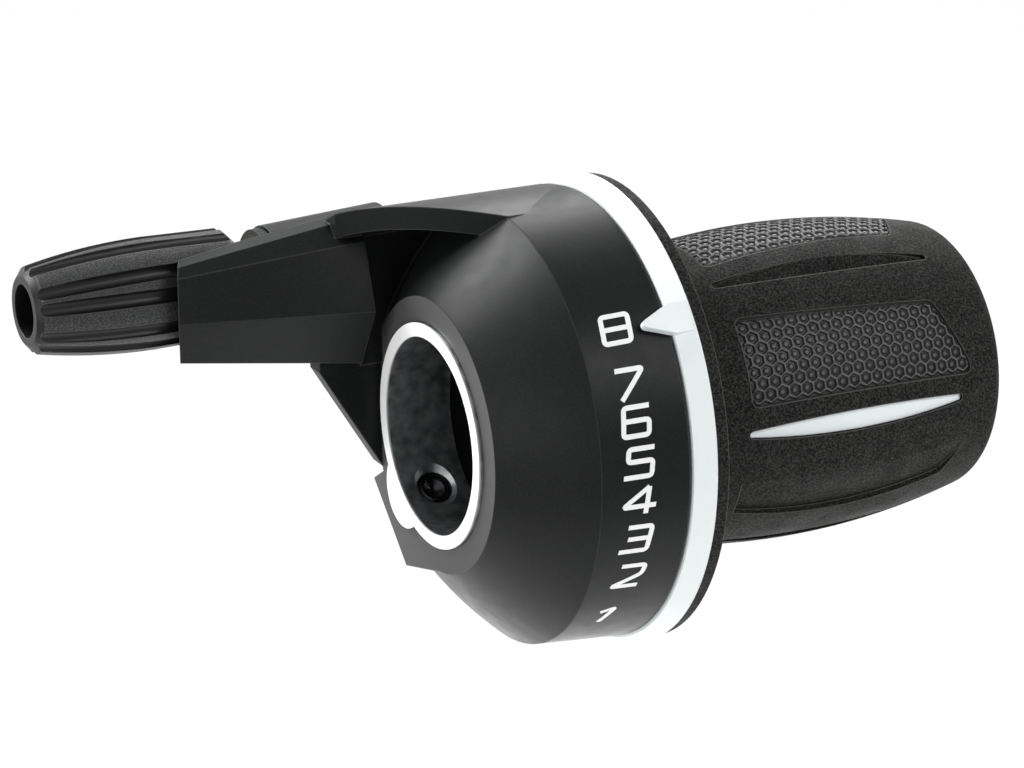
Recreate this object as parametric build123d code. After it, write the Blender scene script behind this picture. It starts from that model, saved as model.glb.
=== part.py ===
from build123d import *
import math
import os

# Twist grip gear shifter for a bicycle handlebar, in millimetres.
# The bar runs along X, with +X towards the grip end, +Z up and -Y towards the rider's eye.
# The origin is the middle of the mouth that the handlebar goes into.

# Handlebar, clamp ring and its set screw
BAR_R = 11.1
BAR_FIT = 0.05
LIP_R = 12.7
CLAMP_LENGTH = 8.0
SHOULDER_LENGTH = 6.8
SPIGOT_WALL = 0.75
LUG_R = 4.3
LUG_CENTRE_R = 11.1
SCREW_ANGLE = -52.0
SCREW_X = 4.1
SCREW_R = 2.0
SCREW_LENGTH = 4.6
SCREW_SETBACK_DEPTH = 0.5
SCREW_CHAMFER = 0.5
SOCKET_R = 1.0
SOCKET_DEPTH = 2.0
CUP_R = 1.2
CUP_DEPTH = 0.7
COUNTERSINK_DEPTH = 0.4

# Nose, number band and inner sleeve of the housing
FACE_X = 0.5
FACE_R = 15.6
CREASE_X = 8.6
CREASE_R = 24.8
DOME_BULGE_HEIGHT = 0.4
BAND_END_X = 18.85
BAND_END_R = 25.6
BAND_WALL = 2.7
FLOOR_X = 8.0
CAVITY_CHAMFER = 3.0
SLEEVE_R = 12.6
SLEEVE_END_X = 30.0
RELIEF_R = 11.5

# Boss beside the mouth, with one flat facet over the set screw
BOSS_FACET_R = 18.1
BOSS_ANGLE = -47.7
BOSS_TOP_ANGLE = -33.0
BOSS_CORNER_ANGLE = -68.3
BOSS_END_ANGLE = -112.0
BOSS_DRAFT_WIDTH = 3.4

# Gear positions: turn of the grip from the highest gear to each gear, in degrees
GEAR_TURNS = (0.0, 13.9, 23.6, 34.2, 45.2, 55.4, 65.4, 80.2)
TOP_GEAR_ANGLE = 39.6

# Indicator ring, pointer and grip core
RING_GAP = 0.3
RING_WIDTH = 2.45
RING_STEP_HEIGHT = 0.3
RING_RISE_HEIGHT = 0.85
POINTER_LENGTH = 3.55
POINTER_WIDTH = 3.4
POINTER_THICK = 0.9
POINTER_GAP = 0.15
POINTER_ROOT_LENGTH = 1.2
POINTER_TIP_R = 0.5
CORE_WALL = 1.9
CORE_END_X = 64.4
CORE_BORE_R = 11.8
CORE_STEP_GAP = 0.4
RUN_FIT = 0.1

# Rubber sleeve
FLANGE_SETBACK_DEPTH = 0.35
FLANGE_THICK = 1.6
NECK_FILLET_R = 2.8
NECK_R = 16.5
BELLY_X = 43.0
BELLY_R = 18.1
TAIL_X = 63.6
TAIL_R = 15.7
RUBBER_END_X = 65.4
RUBBER_END_R = 14.3
RUBBER_END_BORE_R = 12.2
TAIL_ROUND_DEPTH = 0.6
SEAT_FIT = 0.05

# Lens slots, textured panels and the bare recess round the rubber
LENS_COUNT = 6
LENS_X0 = 31.0
LENS_X1 = 59.0
LENS_WIDTH = 2.4
LENS_TIP_R = 0.45
LENS_DEPTH = 1.3
WINDOW_ANGLE = 2.0
WINDOW_SINK_DEPTH = 0.4
WINDOW_ROOT_DEPTH = 0.2
PANEL_ANGLE = 29.0
PANEL_X0 = 31.5
PANEL_X1 = 60.9
PANEL_SLANT_LENGTH = 4.2
PANEL_WIDTH = 10.2
PANEL_TAPER_WIDTH = 1.4
PANEL_CORNER_R = 0.9
PANEL_DEPTH = 0.35
RECESS_ANGLE = -27.0
RECESS_X0 = 30.6
RECESS_X1 = 60.6
RECESS_SLANT_LENGTH = 2.8
RECESS_WIDTH = 6.0
RECESS_SAG_WIDTH = 1.2
RECESS_DEPTH = 0.85

# Cable spool, index ring, detent spring, washer and clip
SPOOL_X0 = 8.7
SPOOL_X1 = 15.4
SPOOL_R = 18.0
GROOVE_X = 12.0
GROOVE_WIDTH = 1.8
CABLE_R = 0.6
CABLE_TURN_R = 14.6
CABLE_HEAD_R = 2.1
CABLE_HEAD_CENTRE_R = 15.3
HUB_R = 14.0
DOG_COUNT = 3
DOG_ANGLE = 34.0
DOG_LENGTH = 1.9
INDEX_X1 = 18.2
INDEX_R = 19.6
NOTCH_R = 1.3
NOTCH_LIFT_HEIGHT = 0.6
DETENT_ANGLE = 250.0
DETENT_R = 1.1
LEAF_THICK = 0.5
LEAF_ARC = 52.0
LEAF_X0 = 15.9
LEAF_X1 = 17.8
LEAF_ROOT_DEPTH = 1.2
WASHER_THICK = 0.5
WASHER_R = 16.0
CLIP_X = 28.0
CLIP_WIDTH = 1.0
CLIP_R = 13.4
CLIP_DEPTH = 0.4
CLIP_GAP_ANGLE = 50.0

# Barrel adjuster, its screw, bush and friction spring, level with the top of the cable's turn
BARREL_Y = 19.5
HEAD_X0 = -39.5
HEAD_X1 = -15.0
TIP_R = 4.9
TIP_RING_R = 3.9
TIP_ROUND_LENGTH = 0.8
TIP_SWELL_HEIGHT = 0.3
SWELL_X = -25.2
HEAD_R = 6.3
HEAD_END_R = 6.1
HEAD_ROUND_DEPTH = 1.2
CROWN_COUNT = 6
CROWN_ANGLE = -4.0
FLUTE_R = 0.85
FLUTE_DEPTH = 0.75
FLUTE_TIP_ANGLE = 10.4
FLUTE_ROOT_ANGLE = 13.5
CABLE_STOP_R = 3.0
CABLE_STOP_DEPTH = 9.0
CABLE_HOLE_R = 1.1
SHANK_R = 2.9
SHANK_END_X = -4.0
SHANK_INSERT_LENGTH = 7.0
SHANK_CHAMFER = 0.5
THREAD_FIT = 0.05
BUSH_R = 4.2
BUSH_X1 = -2.5
BUSH_FLANGE_R = 4.9
BUSH_FLANGE_THICK = 0.8
SPRING_R = 3.8
SPRING_WIRE_R = 0.3
SPRING_TURNS = 2.5
SPRING_FIT = 0.05

# Cable arm: open shroud round the barrel, at its tip and at its root beside the nose
POCKET_FIT = 0.35
SHROUD_WALL = 1.4
SHROUD_TOP_WIDTH = 3.6
SHROUD_FOOT_WIDTH = 1.2
SHROUD_BACK_DEPTH = 7.4
TIP_X = -24.2
TIP_RAKE = 0.45
TIP_RISE_HEIGHT = 4.8
TIP_CHAMFER = 1.0
TIP_RIDGE_DEPTH = 1.4
TIP_FOOT_DEPTH = 6.3
TIP_KEEL_DEPTH = 8.2
TIP_BACK_WIDTH = 4.5
ROOT_X = -2.2
ROOT_RISE_HEIGHT = 7.3
ROOT_CHAMFER = 2.2
ROOT_FLARE_WIDTH = 2.65
ROOT_RIDGE_DEPTH = 2.4
ROOT_FOOT_DEPTH = 9.6
ROOT_KEEL_DEPTH = 10.0
ROOT_BACK_WIDTH = 6.0
WEB_SET_DEPTH = 1.5
WEB_SHOULDER_HEIGHT = 5.4

# Visor over the arm's root, tunnel under it and the fin below the arm
VISOR_X0 = -5.5
VISOR_R = 25.25
VISOR_THICK = 2.6
VISOR_SET_Y = 2.0
VISOR_ANGLE0 = -14.0
VISOR_ANGLE1 = 72.0
VISOR_START_Y = -2.5
VISOR_END_Y = 12.2
VISOR_BOW_WIDTH = 0.6
TUNNEL_X0 = -12.0
TUNNEL_X1 = 5.0
TUNNEL_R0 = 5.4
TUNNEL_R1 = 6.2
TUNNEL_CHAMFER = 1.0
FIN_Y = 13.2
FIN_THICK = 2.6
FIN_TIP_X = -7.2
FIN_TIP_Z = 4.4
FIN_TOP_Z = 8.0
FIN_FOOT_Z = -8.0

# Cable guide and the hatch over it
GUIDE_R = 1.7
GUIDE_BORE_R = 0.8
GUIDE_X0 = -1.6
BEND_R = 6.0
HATCH_X0 = -10.8
HATCH_X1 = 4.2
HATCH_THICK = 1.2
HATCH_ANGLE0 = -22.0
HATCH_ANGLE1 = 88.0
HATCH_FIT = 0.15
HATCH_PROUD_HEIGHT = 0.3
HATCH_CHAMFER = 0.8
HATCH_ROOM_HEIGHT = 3.0

# Sizes that follow from the ones above
BORE_R = BAR_R + BAR_FIT
CAVITY_R = BAND_END_R - BAND_WALL
RING_X0 = BAND_END_X + RING_GAP
RING_X1 = RING_X0 + RING_WIDTH
RING_R0 = BAND_END_R + RING_STEP_HEIGHT
RING_R1 = RING_R0 + RING_RISE_HEIGHT
CORE_JOURNAL_R = SLEEVE_R + RUN_FIT
CORE_R = CORE_JOURNAL_R + CORE_WALL
FLANGE_R = RING_R1 - FLANGE_SETBACK_DEPTH
FLANGE_X1 = RING_X1 + FLANGE_THICK
NECK_X = FLANGE_X1 + NECK_FILLET_R
INDEX_X0 = SPOOL_X1 + SEAT_FIT
NUB_R = INDEX_R + NOTCH_LIFT_HEIGHT
LEAF_R = NUB_R + DETENT_R
BARREL_Z = CABLE_TURN_R
BARREL_AXIS = Pos(0, BARREL_Y, BARREL_Z)
POCKET_R = HEAD_R + POCKET_FIT
FRONT_Y = BARREL_Y - POCKET_R - SHROUD_WALL
OVER = 1.0


def turned(*points):
    """Solid of revolution about X from a closed profile of (x, r) points."""
    return revolve(make_face(Polyline(*points, close=True)), Axis.X)


def tube(x0, x1, r_in, r_out):
    """Plain ring about X between two stations."""
    return turned((x0, r_in), (x1, r_in), (x1, r_out), (x0, r_out))


def rod(x0, x1, r):
    """Solid round bar about X between two stations."""
    return turned((x0, 0), (x1, 0), (x1, r), (x0, r))


def sector(profile, angle0, angle1):
    """Part of a turned profile between two angles, measured from the top towards +Y."""
    face = make_face(Polyline(*profile, close=True))
    return Rot(X=90 - angle1) * revolve(face, Axis.X, angle1 - angle0)


def block(x0, x1, r_in, r_out):
    """Closed (x, r) profile of a plain rectangle."""
    return (x0, r_in), (x1, r_in), (x1, r_out), (x0, r_out)


def section(x, *points, rake=0.0):
    """Flat face of (y, z) points at one station along the bar, leaning back with y by the rake."""
    first_y = points[0][0]
    return make_face(Polyline(*[(x + rake * (y - first_y), y, z) for y, z in points], close=True))


def polar(r, angle):
    """(y, z) at a radius and an angle measured from +Y towards +Z."""
    return r * math.cos(math.radians(angle)), r * math.sin(math.radians(angle))


def radial(angle, x):
    """Frame whose Z axis points outwards at an angle from +Y, at one station along the bar."""
    out_y, out_z = polar(1.0, angle)
    return Location(Plane((x, 0, 0), x_dir=(1, 0, 0), z_dir=(0, out_y, out_z)))


def post(r, low, high):
    """Round post along Z between two heights."""
    return Pos(0, 0, low) * Cylinder(r, high - low, align=(Align.CENTER, Align.CENTER, Align.MIN))


def front_angle(angle):
    """Angle from +Y of a place given by its angle above the front of the part."""
    return 180.0 - angle


def clamp_form(gap):
    """Turned sleeve with a shoulder, and the round lug along it that takes the set screw."""
    shoulder = rod(0, SHOULDER_LENGTH + gap, LIP_R + gap)
    spigot = rod(0, CLAMP_LENGTH + gap, BORE_R + SPIGOT_WALL + gap)
    lug = Pos(0, *polar(LUG_CENTRE_R, SCREW_ANGLE)) * rod(0, SHOULDER_LENGTH + gap, LUG_R + gap)
    return shoulder + spigot + lug


def clamp_ring():
    hole_r = SCREW_R + THREAD_FIT
    tapped = post(hole_r, 0, LUG_CENTRE_R + LUG_R + OVER)
    sink = Pos(0, 0, BORE_R) * Cone(hole_r + 2 * COUNTERSINK_DEPTH, hole_r, 2 * COUNTERSINK_DEPTH)
    ring = clamp_form(0) - rod(-OVER, CLAMP_LENGTH + OVER, BORE_R)
    return ring - radial(SCREW_ANGLE, SCREW_X) * (tapped + sink)


def clamp_screw():
    start = BORE_R + SCREW_SETBACK_DEPTH
    end = start + SCREW_LENGTH
    body = post(SCREW_R, start, end)
    body = chamfer(body.edges().group_by(Axis.Z)[0], SCREW_CHAMFER)
    socket = extrude(Pos(0, 0, end - SOCKET_DEPTH) * RegularPolygon(SOCKET_R, 6), SOCKET_DEPTH)
    cup = Pos(0, 0, start + CUP_DEPTH / 2) * Cone(CUP_R, 0, CUP_DEPTH)
    return radial(SCREW_ANGLE, SCREW_X) * (body - socket - cup)


def nose():
    """Domed nose and number band, solid to the bar's axis."""
    middle = ((FACE_X + CREASE_X) / 2, (FACE_R + CREASE_R) / 2)
    slope = math.atan2(CREASE_R - FACE_R, CREASE_X - FACE_X)
    bulge_x = middle[0] - DOME_BULGE_HEIGHT * math.sin(slope)
    bulge_r = middle[1] + DOME_BULGE_HEIGHT * math.cos(slope)
    edges = [
        Line((FACE_X, 0), (FACE_X, FACE_R)),
        ThreePointArc((FACE_X, FACE_R), (bulge_x, bulge_r), (CREASE_X, CREASE_R)),
        Line((CREASE_X, CREASE_R), (BAND_END_X, BAND_END_R)),
        Line((BAND_END_X, BAND_END_R), (BAND_END_X, 0)),
        Line((BAND_END_X, 0), (FACE_X, 0)),
    ]
    return revolve(make_face(edges), Axis.X)


def boss_section(x, growth):
    """Boss outline at one station: the facet over the screw, closed to the bar's axis."""
    facet_r = BOSS_FACET_R + growth
    upper = polar(facet_r / math.cos(math.radians(BOSS_TOP_ANGLE - BOSS_ANGLE)), BOSS_TOP_ANGLE)
    corner = polar(facet_r / math.cos(math.radians(BOSS_CORNER_ANGLE - BOSS_ANGLE)), BOSS_CORNER_ANGLE)
    end = polar(FACE_R + growth, BOSS_END_ANGLE)
    return section(x, upper, corner, end, (0, 0))


def screw_boss():
    """Boss that covers the clamp's lug and widens into the slope of the nose."""
    return loft([boss_section(FACE_X, 0), boss_section(CREASE_X, BOSS_DRAFT_WIDTH)], ruled=True)


def shroud_section(x, rise, chamfer_width, ridge, foot, keel, back, flare=0.0, rake=0.0):
    """Shroud outline round the barrel's axis: chamfered crest, ridged front wall, keel and open back."""
    top = BARREL_Z + rise
    return section(
        x,
        (FRONT_Y + chamfer_width, top),
        (FRONT_Y, top - chamfer_width),
        (FRONT_Y - flare, BARREL_Z - ridge),
        (FRONT_Y + SHROUD_FOOT_WIDTH, BARREL_Z - foot),
        (BARREL_Y, BARREL_Z - keel),
        (BARREL_Y + back, BARREL_Z - SHROUD_BACK_DEPTH),
        (BARREL_Y - SHROUD_TOP_WIDTH, top),
        rake=rake,
    )


def shroud():
    """Front wall and floor of the arm, which flare towards the nose."""
    tip = shroud_section(TIP_X, TIP_RISE_HEIGHT, TIP_CHAMFER, TIP_RIDGE_DEPTH, TIP_FOOT_DEPTH,
                         TIP_KEEL_DEPTH, TIP_BACK_WIDTH, rake=TIP_RAKE)
    root = shroud_section(ROOT_X, ROOT_RISE_HEIGHT, ROOT_CHAMFER, ROOT_RIDGE_DEPTH, ROOT_FOOT_DEPTH,
                          ROOT_KEEL_DEPTH, ROOT_BACK_WIDTH, flare=ROOT_FLARE_WIDTH)
    return loft([tip, root], ruled=True)


def web():
    """Set-back wall that ties the shroud's root to the nose."""
    wall_y = FRONT_Y + WEB_SET_DEPTH
    outline = section(
        ROOT_X,
        (wall_y, BARREL_Z - ROOT_KEEL_DEPTH),
        (wall_y, BARREL_Z + WEB_SHOULDER_HEIGHT),
        (BARREL_Y - SHROUD_TOP_WIDTH, BARREL_Z + ROOT_RISE_HEIGHT),
        (BARREL_Y + ROOT_BACK_WIDTH, BARREL_Z - SHROUD_BACK_DEPTH),
        (BARREL_Y, BARREL_Z - ROOT_KEEL_DEPTH),
    )
    return extrude(outline, CREASE_X - ROOT_X, dir=(1, 0, 0))


def visor():
    """Skin that grows out of the band and reaches over the arm, cut back in plan along a bowed edge."""
    skin = block(VISOR_X0, BAND_END_X, VISOR_R - VISOR_THICK, VISOR_R)
    skin = Pos(0, VISOR_SET_Y, 0) * sector(skin, VISOR_ANGLE0, VISOR_ANGLE1)
    start = (CREASE_X, VISOR_START_Y)
    end = (VISOR_X0, VISOR_END_Y)
    bow = ((start[0] + end[0]) / 2 - VISOR_BOW_WIDTH, (start[1] + end[1]) / 2 - VISOR_BOW_WIDTH)
    back_y = VISOR_R + VISOR_SET_Y + OVER
    plan = make_face([
        ThreePointArc(start, bow, end),
        Polyline(end, (VISOR_X0, back_y), (BAND_END_X, back_y), (BAND_END_X, VISOR_START_Y), start),
    ])
    return skin & extrude(plan, VISOR_R + OVER)


def tunnel():
    """Round nose of the arm that the cable runs through, about the barrel's axis."""
    return BARREL_AXIS * turned(
        (TUNNEL_X0, 0),
        (TUNNEL_X1, 0),
        (TUNNEL_X1, TUNNEL_R1 - TUNNEL_CHAMFER),
        (TUNNEL_X1 - TUNNEL_CHAMFER, TUNNEL_R1),
        (TUNNEL_X0, TUNNEL_R0),
    )


def fin():
    """Flat gusset from under the arm down to the mouth."""
    side = Polyline(
        (FIN_TIP_X, FIN_Y, FIN_TIP_Z),
        (FACE_X, FIN_Y, FIN_FOOT_Z),
        (CREASE_X, FIN_Y, FIN_FOOT_Z),
        (CREASE_X, FIN_Y, FIN_TOP_Z),
        (FIN_TIP_X, FIN_Y, FIN_TOP_Z),
        close=True,
    )
    return extrude(make_face(side), FIN_THICK, dir=(0, 1, 0))


def guide_form(r):
    """Round rod along the cable's line: along the arm, then a quarter turn onto the spool's groove."""
    start = Line((GUIDE_X0, BARREL_Y, BARREL_Z), (GROOVE_X - BEND_R, BARREL_Y, BARREL_Z))
    bend = JernArc(start @ 1, start % 1, BEND_R, -90)
    path = Curve() + [start, bend]
    return sweep(Plane(path @ 0, z_dir=path % 0) * Circle(r), path)


def cable_guide():
    return guide_form(GUIDE_R) - guide_form(GUIDE_BORE_R)


def hatch_form(gap, room):
    """Curved cover over the tunnel, with a gap round it and room above it for its recess."""
    top = TUNNEL_R1 + HATCH_PROUD_HEIGHT + room
    low = TUNNEL_R0 - HATCH_THICK - gap
    profile = (
        (HATCH_X0 - gap, low),
        (HATCH_X1 + gap, low),
        (HATCH_X1 + gap, top - HATCH_CHAMFER),
        (HATCH_X1 + gap - HATCH_CHAMFER, top),
        (HATCH_X0 - gap, TUNNEL_R0 + HATCH_PROUD_HEIGHT + room),
    )
    spread = math.degrees(gap / TUNNEL_R0)
    return BARREL_AXIS * sector(profile, HATCH_ANGLE0 - spread, HATCH_ANGLE1 + spread)


def cable_hatch():
    return hatch_form(0, 0)


def cavity():
    """Room for the spool, index ring and detent spring, open at the band's end."""
    return turned(
        (FLOOR_X, SLEEVE_R),
        (FLOOR_X, CAVITY_R - CAVITY_CHAMFER),
        (FLOOR_X + CAVITY_CHAMFER, CAVITY_R),
        (BAND_END_X + OVER, CAVITY_R),
        (BAND_END_X + OVER, SLEEVE_R),
    )


def leaf_slot(gap):
    """Radial end of the detent spring, and the slot in the wall that holds it."""
    width = LEAF_X1 - LEAF_X0 + 2 * gap
    height = CAVITY_R + LEAF_ROOT_DEPTH + gap - LEAF_R
    tab = Box(width, LEAF_THICK + 2 * gap, height, align=(Align.CENTER, Align.CENTER, Align.MIN))
    frame = radial(DETENT_ANGLE + LEAF_ARC, (LEAF_X0 + LEAF_X1) / 2)
    return frame * (Pos(0, 0, LEAF_R - LEAF_THICK / 2) * tab)


def clip_groove():
    """Groove round the sleeve's end for the retaining clip."""
    half = CLIP_WIDTH / 2 + SEAT_FIT
    return tube(CLIP_X - half, CLIP_X + half, SLEEVE_R - CLIP_DEPTH, SLEEVE_R + OVER)


def barrel_room():
    """Pocket for the barrel's head, with the bush's stepped seat behind it."""
    head = rod(TIP_X - OVER, TUNNEL_X0, POCKET_R)
    bush = rod(TUNNEL_X0 - OVER, BUSH_X1 + SEAT_FIT, BUSH_R + SEAT_FIT)
    flange = rod(TUNNEL_X0 - OVER, TUNNEL_X0 + BUSH_FLANGE_THICK + SEAT_FIT, BUSH_FLANGE_R + SEAT_FIT)
    throat = rod(BUSH_X1, GUIDE_X0, GUIDE_R)
    return BARREL_AXIS * (head + bush + flange + throat)


def housing():
    shell = nose() + screw_boss() + shroud() + web() + visor() + tunnel() + fin()
    shell -= cavity()
    shell += tube(FACE_X, SLEEVE_END_X, BORE_R, SLEEVE_R)
    shell -= rod(TIP_X - OVER, SLEEVE_END_X + OVER, RELIEF_R)
    shell -= clamp_form(SEAT_FIT)
    shell -= radial(SCREW_ANGLE, SCREW_X) * post(SCREW_R + THREAD_FIT, 0, 2 * BOSS_FACET_R)
    shell -= clip_groove()
    shell -= leaf_slot(SEAT_FIT)
    shell -= barrel_room()
    shell -= hatch_form(HATCH_FIT, HATCH_ROOM_HEIGHT)
    shell -= guide_form(GUIDE_R + SEAT_FIT)
    return shell


def adjuster_bush():
    bush = rod(TUNNEL_X0, BUSH_X1, BUSH_R)
    bush += rod(TUNNEL_X0, TUNNEL_X0 + BUSH_FLANGE_THICK, BUSH_FLANGE_R)
    return BARREL_AXIS * (bush - rod(TUNNEL_X0 - OVER, BUSH_X1 + OVER, SHANK_R + THREAD_FIT))


def flute(minor_crown, side):
    """Finger groove beside a minor crown, on an arc that follows the swell and spreads to the root."""
    share = (SWELL_X - HEAD_X0) / (HEAD_X1 - HEAD_X0)
    swell_angle = FLUTE_TIP_ANGLE + share * (FLUTE_ROOT_ANGLE - FLUTE_TIP_ANGLE)
    rise = FLUTE_R - FLUTE_DEPTH
    tip = (HEAD_X0 - OVER, *polar(TIP_R + rise, minor_crown + side * FLUTE_TIP_ANGLE))
    swell = (SWELL_X, *polar(HEAD_R + rise, minor_crown + side * swell_angle))
    root = (HEAD_X1 + OVER, *polar(HEAD_END_R + rise, minor_crown + side * FLUTE_ROOT_ANGLE))
    path = ThreePointArc(tip, swell, root)
    outwards = (0, tip[1], tip[2])
    return sweep(Plane(path @ 0, x_dir=outwards, z_dir=path % 0) * Circle(FLUTE_R), path)


def barrel_adjuster():
    bow = ((HEAD_X0 + SWELL_X) / 2, (TIP_R + HEAD_R) / 2 + TIP_SWELL_HEIGHT)
    neck = (HEAD_X1 - HEAD_ROUND_DEPTH, HEAD_END_R)
    profile = make_face([
        Line((HEAD_X0, 0), (HEAD_X0, TIP_RING_R)),
        Line((HEAD_X0, TIP_RING_R), (HEAD_X0 + TIP_ROUND_LENGTH, TIP_R)),
        ThreePointArc((HEAD_X0 + TIP_ROUND_LENGTH, TIP_R), bow, (SWELL_X, HEAD_R)),
        Line((SWELL_X, HEAD_R), neck),
        Line(neck, (HEAD_X1, HEAD_END_R - HEAD_ROUND_DEPTH)),
        Line((HEAD_X1, HEAD_END_R - HEAD_ROUND_DEPTH), (HEAD_X1, 0)),
        Line((HEAD_X1, 0), (HEAD_X0, 0)),
    ])
    barrel = revolve(profile, Axis.X)
    for index in range(CROWN_COUNT):
        minor_crown = front_angle(CROWN_ANGLE + 360 * (index + 0.5) / CROWN_COUNT)
        for side in (-1, 1):
            barrel -= flute(minor_crown, side)
    barrel -= rod(HEAD_X0 - OVER, HEAD_X0 + CABLE_STOP_DEPTH, CABLE_STOP_R)
    barrel -= rod(HEAD_X0, HEAD_X1 + OVER, CABLE_HOLE_R)
    barrel -= rod(HEAD_X1 - SHANK_INSERT_LENGTH - SEAT_FIT, HEAD_X1 + OVER, SHANK_R + SEAT_FIT)
    return BARREL_AXIS * barrel


def adjuster_screw():
    start = HEAD_X1 - SHANK_INSERT_LENGTH
    shank = turned(
        (start, CABLE_HOLE_R),
        (SHANK_END_X, CABLE_HOLE_R),
        (SHANK_END_X, SHANK_R - SHANK_CHAMFER),
        (SHANK_END_X - SHANK_CHAMFER, SHANK_R),
        (start, SHANK_R),
    )
    return BARREL_AXIS * shank


def adjuster_spring():
    length = TUNNEL_X0 - HEAD_X1 - 2 * (SPRING_WIRE_R + SPRING_FIT)
    helix = Helix(length / SPRING_TURNS, length, SPRING_R, center=(0, 0, 0), direction=(0, 0, 1))
    wire = sweep(Plane(helix @ 0, z_dir=helix % 0) * Circle(SPRING_WIRE_R), helix, is_frenet=True)
    return BARREL_AXIS * (Pos(HEAD_X1 + SPRING_WIRE_R + SPRING_FIT, 0, 0) * (Rot(Y=90) * wire))


def cable_spool():
    half = GROOVE_WIDTH / 2
    spool = tube(SPOOL_X0, SPOOL_X1, CORE_JOURNAL_R, SPOOL_R)
    spool -= tube(GROOVE_X - half, GROOVE_X + half, CABLE_TURN_R - CABLE_R, SPOOL_R + OVER)
    spool += tube(SPOOL_X1, INDEX_X1, CORE_JOURNAL_R, HUB_R)
    dog = block(INDEX_X1, RING_X0 + DOG_LENGTH, CORE_JOURNAL_R, HUB_R)
    for index in range(DOG_COUNT):
        start = 360 * index / DOG_COUNT
        spool += sector(dog, start, start + DOG_ANGLE)
    head_y, head_z = polar(CABLE_HEAD_CENTRE_R, front_angle(TOP_GEAR_ANGLE))
    return spool - Pos(0, head_y, head_z) * rod(GROOVE_X, SPOOL_X1 + OVER, CABLE_HEAD_R)


def index_ring():
    ring = tube(INDEX_X0, INDEX_X1, HUB_R + SEAT_FIT, INDEX_R)
    for turn in GEAR_TURNS:
        notch = rod(INDEX_X0 - OVER, INDEX_X1 + OVER, NOTCH_R)
        ring -= Pos(0, *polar(NUB_R, DETENT_ANGLE - turn)) * notch
    return ring


def detent_spring():
    strip = block(LEAF_X0, LEAF_X1, LEAF_R - LEAF_THICK / 2, LEAF_R + LEAF_THICK / 2)
    leaf = revolve(make_face(Polyline(*strip, close=True)), Axis.X, LEAF_ARC)
    nub = Pos(0, *polar(NUB_R, DETENT_ANGLE)) * rod(LEAF_X0, LEAF_X1, DETENT_R)
    return Rot(X=DETENT_ANGLE) * leaf + nub + leaf_slot(0)


def thrust_washer():
    start = FLOOR_X + SEAT_FIT
    return tube(start, start + WASHER_THICK, SLEEVE_R + RUN_FIT, WASHER_R)


def retaining_clip():
    half = CLIP_WIDTH / 2
    ring = block(CLIP_X - half, CLIP_X + half, SLEEVE_R - CLIP_DEPTH + SEAT_FIT, CLIP_R)
    return sector(ring, CLIP_GAP_ANGLE / 2, 360 - CLIP_GAP_ANGLE / 2)


def pointer():
    """Rounded arrow that lies over the number band and points at the gear."""
    low = BAND_END_R + POINTER_GAP
    shell = tube(RING_X0 - POINTER_LENGTH, RING_X0 + POINTER_ROOT_LENGTH, low, low + POINTER_THICK)
    half = POINTER_WIDTH / 2
    arrow = make_face(Polyline((-POINTER_LENGTH, 0), (0, -half), (POINTER_ROOT_LENGTH, -half),
                               (POINTER_ROOT_LENGTH, half), (0, half), close=True))
    arrow = fillet(arrow.vertices().sort_by(Axis.X)[0], POINTER_TIP_R)
    return shell & (radial(front_angle(TOP_GEAR_ANGLE), RING_X0) * extrude(arrow, 2 * low))


def lens(inset):
    """Slender lens outline along X with round ends, drawn in from its slot by an inset."""
    x0 = LENS_X0 + inset
    x1 = LENS_X1 - inset
    tip = LENS_TIP_R - inset
    half = LENS_WIDTH / 2 - inset
    middle = (x0 + x1) / 2
    return make_face([
        ThreePointArc((x0 + tip, tip), (middle, half), (x1 - tip, tip)),
        ThreePointArc((x1 - tip, tip), (x1, 0), (x1 - tip, -tip)),
        ThreePointArc((x1 - tip, -tip), (middle, -half), (x0 + tip, -tip)),
        ThreePointArc((x0 + tip, -tip), (x0, 0), (x0 + tip, tip)),
    ])


def panel(side):
    """Textured panel's outline: straight at the neck, slanted at the tail, with round corners."""
    half = PANEL_WIDTH / 2
    outline = make_face(Polyline(
        (PANEL_X0, -side * half),
        (PANEL_X1, -side * half),
        (PANEL_X1 - PANEL_SLANT_LENGTH, side * (half - PANEL_TAPER_WIDTH)),
        (PANEL_X0, side * half),
        close=True,
    ))
    return fillet(outline.vertices(), PANEL_CORNER_R)


def recess():
    """Bare recess's outline: bowed lower edge, straight upper edge and slanted tail."""
    half = RECESS_WIDTH / 2
    low_end = (RECESS_X1 - RECESS_SLANT_LENGTH, -half + RECESS_SAG_WIDTH)
    low_start = (RECESS_X0, -half + RECESS_SAG_WIDTH)
    sag = ((low_start[0] + low_end[0]) / 2, -half)
    return make_face([
        ThreePointArc(low_start, sag, low_end),
        Polyline(low_end, (RECESS_X1, half), (RECESS_X0, half), low_start),
    ])


def rubber_body(sink):
    """Solid form of the rubber, lowered by a given depth."""
    start = RING_X1 + SEAT_FIT
    flange = FLANGE_R - sink
    neck = NECK_R - sink
    tail = TAIL_R - sink
    bend = NECK_FILLET_R * (1 - math.sqrt(0.5))
    edges = [
        Polyline((start, 0), (start, flange), (FLANGE_X1, flange), (FLANGE_X1, neck + NECK_FILLET_R)),
        ThreePointArc((FLANGE_X1, neck + NECK_FILLET_R), (FLANGE_X1 + bend, neck + bend), (NECK_X, neck)),
        ThreePointArc((NECK_X, neck), (BELLY_X, BELLY_R - sink), (TAIL_X, tail)),
        ThreePointArc((TAIL_X, tail), (RUBBER_END_X - TAIL_ROUND_DEPTH, tail - TAIL_ROUND_DEPTH),
                      (RUBBER_END_X, RUBBER_END_R - sink)),
        Polyline((RUBBER_END_X, RUBBER_END_R - sink), (RUBBER_END_X, 0), (start, 0)),
    ]
    return revolve(make_face(edges), Axis.X)


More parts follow.
